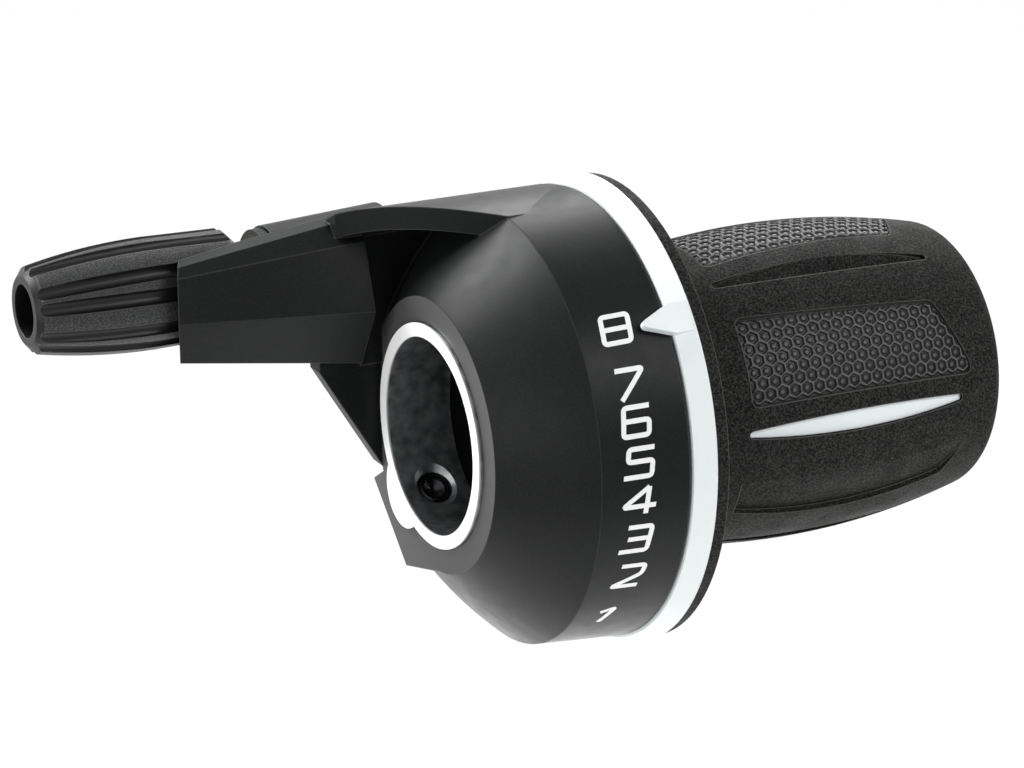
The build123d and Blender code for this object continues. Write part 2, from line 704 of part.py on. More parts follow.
def sloped_cut(angle, outline, width, depth):
    """Cut whose floor follows the rubber, level at its upper edge and deepest at its lower edge."""
    slope = math.degrees(math.atan2(depth, width))
    hinge = Pos(0, width / 2, BELLY_R)
    floor = hinge * Rot(X=slope) * hinge.inverse() * rubber_body(0)
    return radial(front_angle(angle), 0) * (extrude(outline, FLANGE_R) - floor)


def grip_core():
    inner = CORE_JOURNAL_R
    ring = turned((RING_X0, inner), (RING_X1, inner), (RING_X1, RING_R1), (RING_X0, RING_R0))
    core = ring + tube(RING_X1, CORE_END_X, CORE_JOURNAL_R, CORE_R) + pointer()
    core += tube(SLEEVE_END_X + CORE_STEP_GAP, CORE_END_X, CORE_BORE_R, CORE_JOURNAL_R)
    core -= tube(CLIP_X - CLIP_WIDTH, CLIP_X + CLIP_WIDTH, SLEEVE_R, CLIP_R + RUN_FIT)
    play = math.degrees(SEAT_FIT / HUB_R)
    dog = block(RING_X0 - OVER, RING_X0 + DOG_LENGTH + SEAT_FIT, SLEEVE_R, HUB_R + SEAT_FIT)
    for index in range(DOG_COUNT):
        start = 360 * index / DOG_COUNT
        core -= sector(dog, start - play, start + DOG_ANGLE + play)
    strip = radial(front_angle(WINDOW_ANGLE), 0) * extrude(lens(SEAT_FIT), BELLY_R)
    skin = rubber_body(WINDOW_SINK_DEPTH) - rod(0, RUBBER_END_X + OVER, CORE_R - WINDOW_ROOT_DEPTH)
    return core + (strip & skin)


def grip_rubber():
    rubber = rubber_body(0)
    rubber -= rod(0, CORE_END_X + SEAT_FIT, CORE_R + SEAT_FIT)
    rubber -= rod(0, RUBBER_END_X + OVER, RUBBER_END_BORE_R)
    rubber -= radial(front_angle(WINDOW_ANGLE), 0) * extrude(lens(0), FLANGE_R)
    skin = rubber_body(-OVER) - rubber_body(PANEL_DEPTH)
    for index in range(1, LENS_COUNT):
        turn = 360 * index / LENS_COUNT
        rubber -= sloped_cut(WINDOW_ANGLE + turn, lens(0), LENS_WIDTH, LENS_DEPTH)
        side = 1 if index % 2 else -1
        frame = radial(front_angle(PANEL_ANGLE + turn - 360 / LENS_COUNT), 0)
        rubber -= skin & (frame * extrude(panel(side), FLANGE_R))
    return rubber - sloped_cut(RECESS_ANGLE, recess(), RECESS_WIDTH, RECESS_DEPTH)


NODES = (
    housing,
    clamp_ring,
    clamp_screw,
    adjuster_bush,
    cable_guide,
    cable_hatch,
    detent_spring,
    thrust_washer,
    retaining_clip,
    cable_spool,
    index_ring,
    grip_core,
    grip_rubber,
    adjuster_spring,
    barrel_adjuster,
    adjuster_screw,
)

os.makedirs("parts", exist_ok=True)
for make in NODES:
    export_step(make(), f"parts/{make.__name__}.step")
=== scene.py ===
import math

import bpy
import numpy as np
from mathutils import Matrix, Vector


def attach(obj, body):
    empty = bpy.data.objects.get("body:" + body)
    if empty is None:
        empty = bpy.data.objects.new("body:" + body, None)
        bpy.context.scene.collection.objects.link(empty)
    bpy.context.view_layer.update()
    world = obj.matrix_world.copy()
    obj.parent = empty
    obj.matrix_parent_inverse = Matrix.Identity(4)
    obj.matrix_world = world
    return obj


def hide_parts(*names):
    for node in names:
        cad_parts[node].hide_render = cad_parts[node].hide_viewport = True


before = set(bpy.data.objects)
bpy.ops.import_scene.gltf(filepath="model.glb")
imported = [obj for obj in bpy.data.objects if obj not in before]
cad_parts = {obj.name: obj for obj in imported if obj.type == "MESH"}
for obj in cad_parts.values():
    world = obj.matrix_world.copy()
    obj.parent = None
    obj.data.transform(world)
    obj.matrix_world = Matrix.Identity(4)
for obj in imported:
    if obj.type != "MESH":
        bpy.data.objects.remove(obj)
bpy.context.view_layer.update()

# Clamp ring and set screw: the ring is a sleeve turned from bright aluminium bar, with a tapped lug, pressed
# into the mouth of the housing. Its lip is bright and its bore cloudy. The screw in the lug is blackened
# steel and bites on the handlebar.
MM = 0.001
LIP_X, BORE_X = 0.02, 0.3
LIP_WHITE, LIP_DULL = (0.97, 0.972, 0.97), 0.5
BORE_DARK, BORE_LIGHT, BORE_DULL = (0.20, 0.215, 0.22), (0.46, 0.48, 0.49), 0.36
TOOL_PITCH, TOOL_DEPTH = 0.12, 0.0012
WAVE_LENGTH = 0.314
NOISE_LOW, NOISE_HIGH = 0.3, 0.7
COLOUR_A, COLOUR_B, COLOUR_RESULT = 6, 7, 2
STEEL_BLACK = (0.035, 0.035, 0.038)


def finish(name, metallic=0.0, gloss=0.5):
    """New material with one shader, its plain values set on the shader's own sockets."""
    made = bpy.data.materials.new(name)
    made.use_nodes = True
    shader = made.node_tree.nodes["Principled BSDF"]
    shader.inputs["Metallic"].default_value = metallic
    shader.inputs["Specular IOR Level"].default_value = gloss
    return made, shader


def noise(made, size, detail):
    """Noise on object coordinates whose grains are about as wide as the given size in millimetres."""
    nodes, links = made.node_tree.nodes, made.node_tree.links
    place = nodes.new("ShaderNodeTexCoord")
    grains = nodes.new("ShaderNodeTexNoise")
    grains.inputs["Scale"].default_value = 1.0 / (size * MM)
    grains.inputs["Detail"].default_value = detail
    links.new(place.outputs["Object"], grains.inputs["Vector"])
    return grains.outputs["Fac"]


def spread(made, value, low, high, to_low=0.0, to_high=1.0):
    """Stretch a value between two limits onto a new range."""
    nodes, links = made.node_tree.nodes, made.node_tree.links
    stretch = nodes.new("ShaderNodeMapRange")
    stretch.inputs["From Min"].default_value = low
    stretch.inputs["From Max"].default_value = high
    stretch.inputs["To Min"].default_value = to_low
    stretch.inputs["To Max"].default_value = to_high
    links.new(value, stretch.inputs["Value"])
    return stretch.outputs["Result"]


def blend_colour(made, value, dark, light):
    """Colour that goes from dark to light with a value; either end may be a colour or a socket."""
    nodes, links = made.node_tree.nodes, made.node_tree.links
    mix = nodes.new("ShaderNodeMix")
    mix.data_type = "RGBA"
    links.new(value, mix.inputs["Factor"])
    for end, socket in ((dark, mix.inputs[COLOUR_A]), (light, mix.inputs[COLOUR_B])):
        if isinstance(end, tuple):
            socket.default_value = (*end, 1.0)
        else:
            links.new(end, socket)
    return mix.outputs[COLOUR_RESULT]


def patches(made, shader, size, detail, smooth, dull):
    """Roughness in patches of a size in millimetres, from smooth to dull."""
    worn = spread(made, noise(made, size, detail), NOISE_LOW, NOISE_HIGH, smooth, dull)
    made.node_tree.links.new(worn, shader.inputs["Roughness"])


def relief(made, shader, height, depth, base=None):
    """Bump of a depth in millimetres from a height value, on top of an earlier normal if there is one."""
    nodes, links = made.node_tree.nodes, made.node_tree.links
    bump = nodes.new("ShaderNodeBump")
    bump.inputs["Strength"].default_value = 1.0
    bump.inputs["Distance"].default_value = depth * MM
    links.new(height, bump.inputs["Height"])
    if base is not None:
        links.new(base, bump.inputs["Normal"])
    links.new(bump.outputs["Normal"], shader.inputs["Normal"])


def turning_marks(made, shader):
    """Fine tool marks: rings round the bar's axis a pitch apart, broken up by noise. A wave of scale 1
    repeats every wave length, so the scale is that over the pitch."""
    nodes, links = made.node_tree.nodes, made.node_tree.links
    place = nodes.new("ShaderNodeTexCoord")
    rings = nodes.new("ShaderNodeTexWave")
    rings.wave_type = "RINGS"
    rings.rings_direction = "X"
    rings.inputs["Scale"].default_value = WAVE_LENGTH / (TOOL_PITCH * MM)
    rings.inputs["Distortion"].default_value = 0.6
    rings.inputs["Detail"].default_value = 1.0
    links.new(place.outputs["Object"], rings.inputs["Vector"])
    relief(made, shader, rings.outputs["Fac"], TOOL_DEPTH)


def axes(made):
    """Object coordinates, split into X, Y and Z."""
    nodes, links = made.node_tree.nodes, made.node_tree.links
    place = nodes.new("ShaderNodeTexCoord")
    split = nodes.new("ShaderNodeSeparateXYZ")
    links.new(place.outputs["Object"], split.inputs["Vector"])
    return split.outputs


def dress(node, made):
    """Put one material on a frame node."""
    thing = bpy.data.objects[node]
    thing.data.materials.clear()
    thing.data.materials.append(made)


turned_alloy, shader = finish("turned_alloy")
links = turned_alloy.node_tree.links
turning_marks(turned_alloy, shader)
inside = spread(turned_alloy, axes(turned_alloy)["X"], LIP_X * MM, BORE_X * MM)
clouds = spread(turned_alloy, noise(turned_alloy, size=1.6, detail=4.0), low=0.35, high=0.65)
bore = blend_colour(turned_alloy, clouds, BORE_DARK, BORE_LIGHT)
links.new(blend_colour(turned_alloy, inside, LIP_WHITE, bore), shader.inputs["Base Color"])
links.new(inside, shader.inputs["Metallic"])
links.new(spread(turned_alloy, inside, 0.0, 1.0, LIP_DULL, BORE_DULL), shader.inputs["Roughness"])
dress("clamp_ring", turned_alloy)

blackened_steel, shader = finish("blackened_steel", metallic=0.85)
shader.inputs["Base Color"].default_value = (*STEEL_BLACK, 1.0)
patches(blackened_steel, shader, size=0.3, detail=3.0, smooth=0.18, dull=0.36)
dress("clamp_screw", blackened_steel)

# Housing: nose, number band, arm and fin are one moulding of glass-filled nylon, satin black. The mould's
# spark-eroded skin leaves a very fine grain. The edges are painted a little lighter, partly as wear from
# handling and partly as painted highlight, and the flat face round the mouth is painted grey as a painted
# reflection.
NYLON_DARK, NYLON_LIGHT = (0.0055, 0.006, 0.0062), (0.011, 0.0117, 0.012)
NYLON_EDGE_WEAR_AND_SHEEN, NYLON_FACE_PAINTED_REFLECTION = (0.06, 0.061, 0.061), (0.075, 0.0755, 0.075)
NYLON_EDGE_R, NYLON_GRAIN, NYLON_GRAIN_DEPTH, NYLON_PATCH = 0.25, 0.14, 0.010, 1.96
EDGE_SAMPLES, EDGE_LEAN = 6, 0.86
FACE_X, FACE_NEAR, FACE_FAR = 0.5, 0.01, 0.05
FACE_SQUARE, FACE_ASKEW = -0.98, -0.90


def maths(made, operation, *values):
    """Result of a sum on one or two values, each a number or a socket."""
    nodes, links = made.node_tree.nodes, made.node_tree.links
    worked = nodes.new("ShaderNodeMath")
    worked.operation = operation
    for value, socket in zip(values, worked.inputs):
        if isinstance(value, float):
            socket.default_value = value
        else:
            links.new(value, socket)
    return worked.outputs["Value"]


def soft_edges(made, radius):
    """Normal rounded over the edges within a radius, and how far it leans from the true one: 0 on flats and
    1 where it leans most."""
    nodes, links = made.node_tree.nodes, made.node_tree.links
    rounded = nodes.new("ShaderNodeBevel")
    rounded.samples = EDGE_SAMPLES
    rounded.inputs["Radius"].default_value = radius * MM
    true = nodes.new("ShaderNodeNewGeometry")
    lean = nodes.new("ShaderNodeVectorMath")
    lean.operation = "DOT_PRODUCT"
    links.new(rounded.outputs["Normal"], lean.inputs[0])
    links.new(true.outputs["Normal"], lean.inputs[1])
    return rounded.outputs["Normal"], spread(made, lean.outputs["Value"], 1.0, EDGE_LEAN)


def painted_reflection_face(made):
    """1 on the flat face round the bar's mouth and 0 elsewhere, the mask of a painted reflection there: how
    near a point lies to the face's own station along the bar, times how squarely it looks along the bar."""
    nodes, links = made.node_tree.nodes, made.node_tree.links
    true = nodes.new("ShaderNodeNewGeometry")
    facing = nodes.new("ShaderNodeSeparateXYZ")
    links.new(true.outputs["True Normal"], facing.inputs["Vector"])
    square = spread(made, facing.outputs["X"], FACE_ASKEW, FACE_SQUARE)
    away = maths(made, "ABSOLUTE", maths(made, "SUBTRACT", axes(made)["X"], FACE_X * MM))
    return maths(made, "MULTIPLY", spread(made, away, FACE_FAR * MM, FACE_NEAR * MM), square)


satin_nylon, shader = finish("satin_nylon", gloss=0.085)
links = satin_nylon.node_tree.links
fine = noise(satin_nylon, NYLON_GRAIN, detail=3.0)
normal, edge_wear_and_sheen = soft_edges(satin_nylon, NYLON_EDGE_R)
grain = spread(satin_nylon, fine, low=0.35, high=0.65)
body = blend_colour(satin_nylon, grain, NYLON_DARK, NYLON_LIGHT)
# Painted reflection: the flat face round the mouth is coloured grey where the plastic would reflect its
# surroundings.
body = blend_colour(satin_nylon, painted_reflection_face(satin_nylon), body, NYLON_FACE_PAINTED_REFLECTION)
# Painted highlight: the edge mask lightens the edges, partly as wear and partly as highlight painted into the
# colour.
links.new(blend_colour(satin_nylon, edge_wear_and_sheen, body, NYLON_EDGE_WEAR_AND_SHEEN), shader.inputs["Base Color"])
patches(satin_nylon, shader, NYLON_PATCH, detail=4.0, smooth=0.35, dull=0.42)
relief(satin_nylon, shader, fine, NYLON_GRAIN_DEPTH, normal)
dress("housing", satin_nylon)

# Gear numbers: eight figures pad-printed in white ink on the band, one for each place of the pointer.
# Each is a line of even width in a plain squared hand that leans a little, laid on the band's cone.
INK_ANGLES = (-41.6, -25.4, -13.6, -3.0, 6.8, 17.0, 26.2, 40.2)
INK_X = 13.05
INK_WIDTH, INK_THICK, INK_ROOT = 0.55, 0.04, 0.06
INK_LEAN = 0.12
INK_CORNER, INK_CORNER_SHARE, INK_CORNER_STEPS = 0.42, 0.45, 9
INK_STEP, INK_FEWEST_STEPS = 0.12, 12
INK_DARK, INK_LIGHT = (0.80, 0.81, 0.81), (0.90, 0.90, 0.90)
FIGURE_HALF_X, FIGURE_HALF_Y = 1.74, 1.54
BAND_X0, BAND_R0 = 8.6, 24.8
BAND_SLOPE = 0.8 / 10.25
FIGURE_LINES = (
    (((-0.97, 0.5), (-0.12, 1.0), (-0.52, -1.0)),),
    (((-0.75, 1.0), (0.85, 1.0), (0.8, 0.15), (-0.95, -1.0), (0.85, -1.0)),),
    (((-0.75, 1.0), (0.85, 1.0), (0.85, -1.0), (-1.0, -1.0)), ((-0.6, 0.03), (0.85, 0.03))),
    (((0.5, 1.0), (-1.1, -0.4), (1.1, -0.4)), ((0.5, 1.0), (0.5, -1.0))),
    (((0.9, 1.0), (-0.8, 1.0), (-0.8, 0.1), (0.85, 0.1), (0.85, -1.0), (-1.0, -1.0)),),
    (((0.85, 1.0), (-0.85, 1.0), (-0.85, -1.0), (0.85, -1.0), (0.85, 0.05), (-0.85, 0.05)),),
    (((-0.95, 1.0), (0.9, 1.0), (-0.6, -1.1)),),
    (((-0.9, 0.0), (-0.9, 1.0), (0.9, 1.0), (0.9, -1.0), (-0.9, -1.0), (-0.9, 0.0)),
     ((-0.9, 0.02), (0.9, 0.02))),
)


def cloud(made, shader, size, detail, dark, light):
    """Base colour in clouds of a size in millimetres, between two tints."""
    tint = blend_colour(made, noise(made, size, detail), dark, light)
    made.node_tree.links.new(tint, shader.inputs["Base Color"])


def skin(rings, looped=False):
    """Points, and arrays of faces, through rings of points with shape (stations, around, 3). Each ring
    closes on itself; a looped skin joins its last ring to its first, and any other gets a flat cap at each
    end. Faces that enclose a negative volume are turned round."""
    stations, around = rings.shape[:2]
    index = np.arange(stations * around).reshape(stations, around)
    first = index if looped else index[:-1]
    after = np.roll(index, -1, axis=0) if looped else index[1:]
    corners = [first, np.roll(first, -1, axis=1), np.roll(after, -1, axis=1), after]
    quads = np.stack(corners, axis=-1).reshape(-1, 4)
    points = rings.reshape(-1, 3)
    a, b, c, d = (points[quads[:, corner]] - points.mean(axis=0) for corner in range(4))
    volume = np.einsum("ij,ij->", a, np.cross(b, c)) + np.einsum("ij,ij->", a, np.cross(c, d))
    faces = [quads] if looped else [quads, index[:1, ::-1], index[-1:]]
    return points, [group[:, ::-1] for group in faces] if volume < 0 else faces


def piece(name, skins, made, body):
    """Object at the origin from skins in millimetres, riding on a body, with a slot of the record."""
    points = np.concatenate([part[0] for part in skins]) * MM
    starts = np.cumsum([0] + [len(part[0]) for part in skins[:-1]])
    faces = [(group + start).tolist() for start, part in zip(starts, skins) for group in part[1]]
    mesh = bpy.data.meshes.new(name)
    mesh.from_pydata(points.tolist(), [], sum(faces, []))
    mesh.materials.append(made)
    thing = bpy.data.objects.new(name, mesh)
    bpy.context.scene.collection.objects.link(thing)
    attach(thing, body)
    return thing


def ink_line(corners, angle):
    """Ribbon along a line of figure corners: each inner corner becomes a parabola between points a corner's
    length either side, the line is resampled evenly, and its two edges lie half a width off along the
    normal. A line that ends where it starts is a loop. The flat figure then wraps round the band: across is
    along the bar, up is round the band, height is off the cone."""
    flat = np.array(corners) * (FIGURE_HALF_X, FIGURE_HALF_Y)
    step = np.diff(flat, axis=0)
    length = np.linalg.norm(step, axis=1, keepdims=True)
    along = step / length
    cut = np.minimum(INK_CORNER, INK_CORNER_SHARE * length)
    bend = np.linspace(0.0, 1.0, INK_CORNER_STEPS)[None, :, None]
    middle = flat[1:-1, None]
    before = middle - (along[:-1] * cut[:-1])[:, None]
    behind = middle + (along[1:] * cut[1:])[:, None]
    arcs = (1 - bend) ** 2 * before + 2 * bend * (1 - bend) * middle + bend ** 2 * behind
    line = np.concatenate([flat[:1], arcs.reshape(-1, 2), flat[-1:]])
    run = np.concatenate([[0.0], np.cumsum(np.linalg.norm(np.diff(line, axis=0), axis=1))])
    even = np.linspace(0.0, run[-1], max(INK_FEWEST_STEPS, int(run[-1] / INK_STEP)))
    line = np.stack([np.interp(even, run, line[:, 0]), np.interp(even, run, line[:, 1])], axis=1)
    tangent = np.gradient(line, axis=0)
    tangent /= np.linalg.norm(tangent, axis=1, keepdims=True)
    closed = corners[0] == corners[-1]
    if closed:
        line, tangent = line[:-1], tangent[:-1]
    normal = np.stack([-tangent[:, 1], tangent[:, 0]], axis=1) * INK_WIDTH / 2
    sides = np.stack([line + normal, line + normal, line - normal, line - normal], axis=1)
    lift = np.array([-INK_ROOT, INK_THICK, INK_THICK, -INK_ROOT])
    x = INK_X + sides[..., 0] + INK_LEAN * sides[..., 1]
    cone = BAND_R0 + (x - BAND_X0) * BAND_SLOPE
    turn = np.radians(angle) + sides[..., 1] / cone
    r = cone + lift
    return skin(np.stack([x, -r * np.cos(turn), r * np.sin(turn)], axis=-1), looped=closed)


white_ink, shader = finish("white_ink")
cloud(white_ink, shader, size=0.2, detail=2.0, dark=INK_DARK, light=INK_LIGHT)
patches(white_ink, shader, size=0.5, detail=2.0, smooth=0.42, dull=0.58)
ink_lines = [ink_line(corners, angle) for figure, angle in zip(FIGURE_LINES, INK_ANGLES)
             for corners in figure]
piece("gear_numbers", ink_lines, white_ink, "housing")

# Works inside the housing: a nylon washer, the cable spool and the index ring of grey acetal, and a leaf
# spring of blued strip whose round nub drops into the ring's notches. A steel clip keeps the grip on.
WASHER_DARK, WASHER_LIGHT = (0.70, 0.69, 0.64), (0.80, 0.79, 0.75)
SPOOL_DARK, SPOOL_LIGHT = (0.17, 0.175, 0.18), (0.24, 0.245, 0.25)
SPRING_DARK, SPRING_LIGHT = (0.42, 0.43, 0.46), (0.62, 0.63, 0.65)
STREAKS_PER_METRE = (300.0, 5000.0, 5000.0)


def acetal(name, dark, light):
    """Slippery moulded plastic: faint cloudy tint and patches of gloss."""
    made, shader = finish(name)
    cloud(made, shader, size=1.2, detail=4.0, dark=dark, light=light)
    patches(made, shader, size=2.5, detail=3.0, smooth=0.3, dull=0.46)
    relief(made, shader, noise(made, size=0.2, detail=2.0), depth=0.006)
    return made


dress("thrust_washer", acetal("natural_nylon", WASHER_DARK, WASHER_LIGHT))
grey_acetal = acetal("grey_acetal", SPOOL_DARK, SPOOL_LIGHT)
dress("cable_spool", grey_acetal)
dress("index_ring", grey_acetal)

spring_steel, shader = finish("spring_steel", metallic=1.0)
nodes, links = spring_steel.node_tree.nodes, spring_steel.node_tree.links
place = nodes.new("ShaderNodeTexCoord")
rolled = nodes.new("ShaderNodeMapping")
rolled.inputs["Scale"].default_value = STREAKS_PER_METRE
links.new(place.outputs["Object"], rolled.inputs["Vector"])
streaks = nodes.new("ShaderNodeTexNoise")
streaks.inputs["Scale"].default_value = 1.0
streaks.inputs["Detail"].default_value = 3.0
links.new(rolled.outputs["Vector"], streaks.inputs["Vector"])
tint = blend_colour(spring_steel, streaks.outputs["Fac"], SPRING_DARK, SPRING_LIGHT)
links.new(tint, shader.inputs["Base Color"])
worn = spread(spring_steel, streaks.outputs["Fac"], NOISE_LOW, NOISE_HIGH, to_low=0.2, to_high=0.36)
links.new(worn, shader.inputs["Roughness"])
dress("detent_spring", spring_steel)
dress("retaining_clip", spring_steel)

# Cable guide and hatch: a bent tube of white acetal leads the cable from the arm onto the spool, and a
# snap-on cover in the housing's own plastic closes the arm over it.
GUIDE_DARK, GUIDE_LIGHT = (0.76, 0.76, 0.72), (0.84, 0.84, 0.80)
dress("cable_guide", acetal("white_acetal", GUIDE_DARK, GUIDE_LIGHT))
dress("cable_hatch", satin_nylon)

# Barrel adjuster: a fluted knob moulded in black on the end of a brass screw, with a brass bush in the arm
# and a steel spring between them. The crowns between the flutes are grained for grip, the flutes and the
# ring at the tip are smooth. The crowns are coloured lighter as painted highlight and the flutes darker as
# painted shade, and the knob's edges are painted lighter, partly as wear and partly as painted highlight.
BARREL_Y, BARREL_Z = 19.5, 14.6
CROWN_STATIONS = ((-39.5, 4.6), (-36.0, 5.28), (-32.0, 5.85), (-25.2, 6.22), (-15.0, 6.02))
CROWN_SCALE_R, CROWN_BLEND = 10.0, 0.1
CROWN_DARK, CROWN_LIGHT = (0.010, 0.0103, 0.0105), (0.050, 0.051, 0.053)
CROWN_GRAIN, CROWN_GRAIN_DEPTH, CROWN_DULL = 0.16, 0.07, 0.52
FLUTE_PAINTED_SHADE, FLUTE_DULL = (0.004, 0.0042, 0.0043), 0.38
KNOB_EDGE_WEAR_AND_SHEEN, KNOB_EDGE_R = (0.06, 0.061, 0.061), 0.16
SCREW_X0, SCREW_X1 = -22.0, -4.0
SCREW_R, SCREW_BORE_R = 2.9, 1.1
SCREW_STATIONS, SCREW_AROUND = 260, 64
POINT_LENGTH, POINT_DEPTH = 0.5, 0.45
THREAD_START, THREAD_FADE, THREAD_PITCH = -15.5, 0.6, 1.0
THREAD_DEPTH, THREAD_SHARPNESS = 0.42, 1.5
BRASS_DARK, BRASS_LIGHT = (0.58, 0.40, 0.16), (0.72, 0.54, 0.24)
BUSH_SHADE_DARK, BUSH_SHADE_LIGHT, BUSH_DULL = (0.012, 0.011, 0.009), (0.03, 0.026, 0.018), 0.55


def crown_share(made):
    """1 on the barrel's crowns and 0 in its flutes: the radius about the barrel's axis against the crown's
    own radius at each station, read from a curve along the barrel."""
    nodes, links = made.node_tree.nodes, made.node_tree.links
    split = axes(made)
    across = nodes.new("ShaderNodeCombineXYZ")
    links.new(split["Y"], across.inputs["Y"])
    links.new(split["Z"], across.inputs["Z"])
    reach = nodes.new("ShaderNodeVectorMath")
    reach.operation = "DISTANCE"
    links.new(across.outputs["Vector"], reach.inputs[0])
    reach.inputs[1].default_value = (0.0, BARREL_Y * MM, BARREL_Z * MM)
    radius = spread(made, reach.outputs["Value"], 0.0, CROWN_SCALE_R * MM)
    x0, x1 = CROWN_STATIONS[0][0], CROWN_STATIONS[-1][0]
    crown = nodes.new("ShaderNodeFloatCurve")
    curve = crown.mapping.curves[0]
    places = [((x - x0) / (x1 - x0), r / CROWN_SCALE_R) for x, r in CROWN_STATIONS]
    curve.points[0].location, curve.points[1].location = places[0], places[-1]
    for spot in places[1:-1]:
        curve.points.new(*spot)
    crown.mapping.update()
    links.new(spread(made, split["X"], x0 * MM, x1 * MM), crown.inputs["Value"])
    short = maths(made, "SUBTRACT", radius, crown.outputs["Value"])
    return spread(made, short, -CROWN_BLEND / CROWN_SCALE_R, 0.0)


knob_black, shader = finish("knob_black", gloss=0.22)
links = knob_black.node_tree.links
crown = crown_share(knob_black)
grains = noise(knob_black, CROWN_GRAIN, detail=2.5)
normal, edge_wear_and_sheen = soft_edges(knob_black, KNOB_EDGE_R)
grain = spread(knob_black, grains, low=0.42, high=0.66)
crown_grain_and_sheen = blend_colour(knob_black, grain, CROWN_DARK, CROWN_LIGHT)
# Painted shade in the flutes and painted highlight on the crowns, over the crowns' real grain.
body = blend_colour(knob_black, crown, FLUTE_PAINTED_SHADE, crown_grain_and_sheen)
# Painted highlight on the knob's edges, partly as wear.
links.new(blend_colour(knob_black, edge_wear_and_sheen, body, KNOB_EDGE_WEAR_AND_SHEEN), shader.inputs["Base Color"])
links.new(spread(knob_black, crown, 0.0, 1.0, FLUTE_DULL, CROWN_DULL), shader.inputs["Roughness"])
relief(knob_black, shader, maths(knob_black, "MULTIPLY", grains, crown), CROWN_GRAIN_DEPTH, normal)
dress("barrel_adjuster", knob_black)


def threaded_shank():
    """Profile from the outer wall back along the bore, carried once round the barrel's axis. The outer radius
    drops by the thread's depth in a wave that moves along by one pitch in each turn. The wave fades in where
    the thread starts, and the shank is pointed at its other end."""
    x = np.linspace(SCREW_X0, SCREW_X1, SCREW_STATIONS)
    turn = np.linspace(0.0, 2 * np.pi, SCREW_AROUND, endpoint=False)[:, None]
    wave = 0.5 + 0.5 * np.cos(2 * np.pi * (-x / THREAD_PITCH) - turn)
    fade = np.clip((x - THREAD_START) / THREAD_FADE, 0.0, 1.0)
    point = np.clip((x - SCREW_X1 + POINT_LENGTH) / POINT_LENGTH, 0.0, 1.0) * POINT_DEPTH
    outer = SCREW_R - np.maximum(THREAD_DEPTH * wave ** THREAD_SHARPNESS * fade, point)
    r = np.concatenate([outer, np.full((len(turn), 2), SCREW_BORE_R)], axis=1)
    x = np.broadcast_to(np.concatenate([x, [SCREW_X1, SCREW_X0]]), r.shape)
    y, z = BARREL_Y + r * np.cos(turn), BARREL_Z - r * np.sin(turn)
    return skin(np.stack([x, y, z], axis=-1), looped=True)


turned_brass, shader = finish("turned_brass", metallic=1.0)
cloud(turned_brass, shader, size=1.5, detail=4.0, dark=BRASS_DARK, light=BRASS_LIGHT)
patches(turned_brass, shader, size=0.6, detail=3.0, smooth=0.18, dull=0.36)
screw = piece("adjuster_thread", [threaded_shank()], turned_brass, "adjuster")
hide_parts("adjuster_screw")

# Painted shade: the brass bush is coloured almost black where it shows in the dark gap between knob and arm.
brass_painted_shade, shader = finish("brass_painted_shade", metallic=0.7)
shader.inputs["Roughness"].default_value = BUSH_DULL
cloud(brass_painted_shade, shader, size=1.0, detail=4.0, dark=BUSH_SHADE_DARK, light=BUSH_SHADE_LIGHT)
dress("adjuster_bush", brass_painted_shade)
dress("adjuster_spring", spring_steel)

# Grip core: one moulding in pale satin plastic makes the ring with the pointer, the tube under the rubber
# and the slim strip that shows through the rubber's window. The pointer's face is a slab of its own here,
# longer than the frame's pointer and flush with the ring.
PALE_DARK, PALE_LIGHT = (0.78, 0.84, 0.845), (0.83, 0.88, 0.885)
PALE_EDGE_R, PALE_GRAIN, PALE_GRAIN_DEPTH = 0.15, 0.16, 0.004
POINTER_ANGLE = 39.6
POINTER_TIP_X, POINTER_BASE_X, POINTER_END_X = 14.8, 19.15, 21.35
POINTER_HALF, POINTER_DROP = 1.74, 0.2
POINTER_NOSE_R, POINTER_NOSE_START = 0.5, 0.04
POINTER_LOW_R, POINTER_TOP_R = 25.78, 26.68
POINTER_NOSE_STEPS, POINTER_STEPS, POINTER_ACROSS = 14, 40, 15


def about_bar(x, t, r, angle):
    """Points at stations x along the bar, at a radius r from its axis, and t to the side of the line that
    leaves the axis at an angle above the front. The way out along that line is what r and t leave by
    Pythagoras."""
    out = np.sqrt(r ** 2 - t ** 2)
    turn = math.radians(angle)
    y = -out * math.cos(turn) + t * math.sin(turn)
    z = out * math.sin(turn) + t * math.cos(turn)
    return np.stack([np.broadcast_to(x[:, None], t.shape), y, z], axis=-1)


def pointer_face():
    """Slab over the pointer and its root. Its half width grows in a straight line from a sharp tip to the
    ring and stays there, a circle rounds the tip, and the middle line drops a little towards the tip. Every
    station is a closed loop of two arcs about the bar, the upper one running into the ring's own cone."""
    flare = math.atan2(POINTER_HALF, POINTER_BASE_X - POINTER_TIP_X)
    nose_x = POINTER_TIP_X + POINTER_NOSE_R / math.sin(flare)
    swing = np.linspace(POINTER_NOSE_START, math.pi / 2 - flare, POINTER_NOSE_STEPS)
    nose = np.stack([nose_x - POINTER_NOSE_R * np.cos(swing), POINTER_NOSE_R * np.sin(swing)])
    x = np.concatenate([nose[0], np.linspace(nose[0, -1], POINTER_END_X, POINTER_STEPS)[1:]])
    straight = np.minimum((x - POINTER_TIP_X) * math.tan(flare), POINTER_HALF)
    half = np.concatenate([nose[1], straight[len(swing):]])
    drop = POINTER_DROP * np.clip((POINTER_BASE_X - x) / (POINTER_BASE_X - nose[0, 0]), 0.0, 1.0)
    across = np.linspace(-1.0, 1.0, POINTER_ACROSS)
    t = half[:, None] * np.concatenate([across, across[::-1]]) - drop[:, None]
    r = np.broadcast_to(np.repeat([POINTER_TOP_R, POINTER_LOW_R], len(across)), t.shape)
    return skin(about_bar(x, t, r, POINTER_ANGLE))


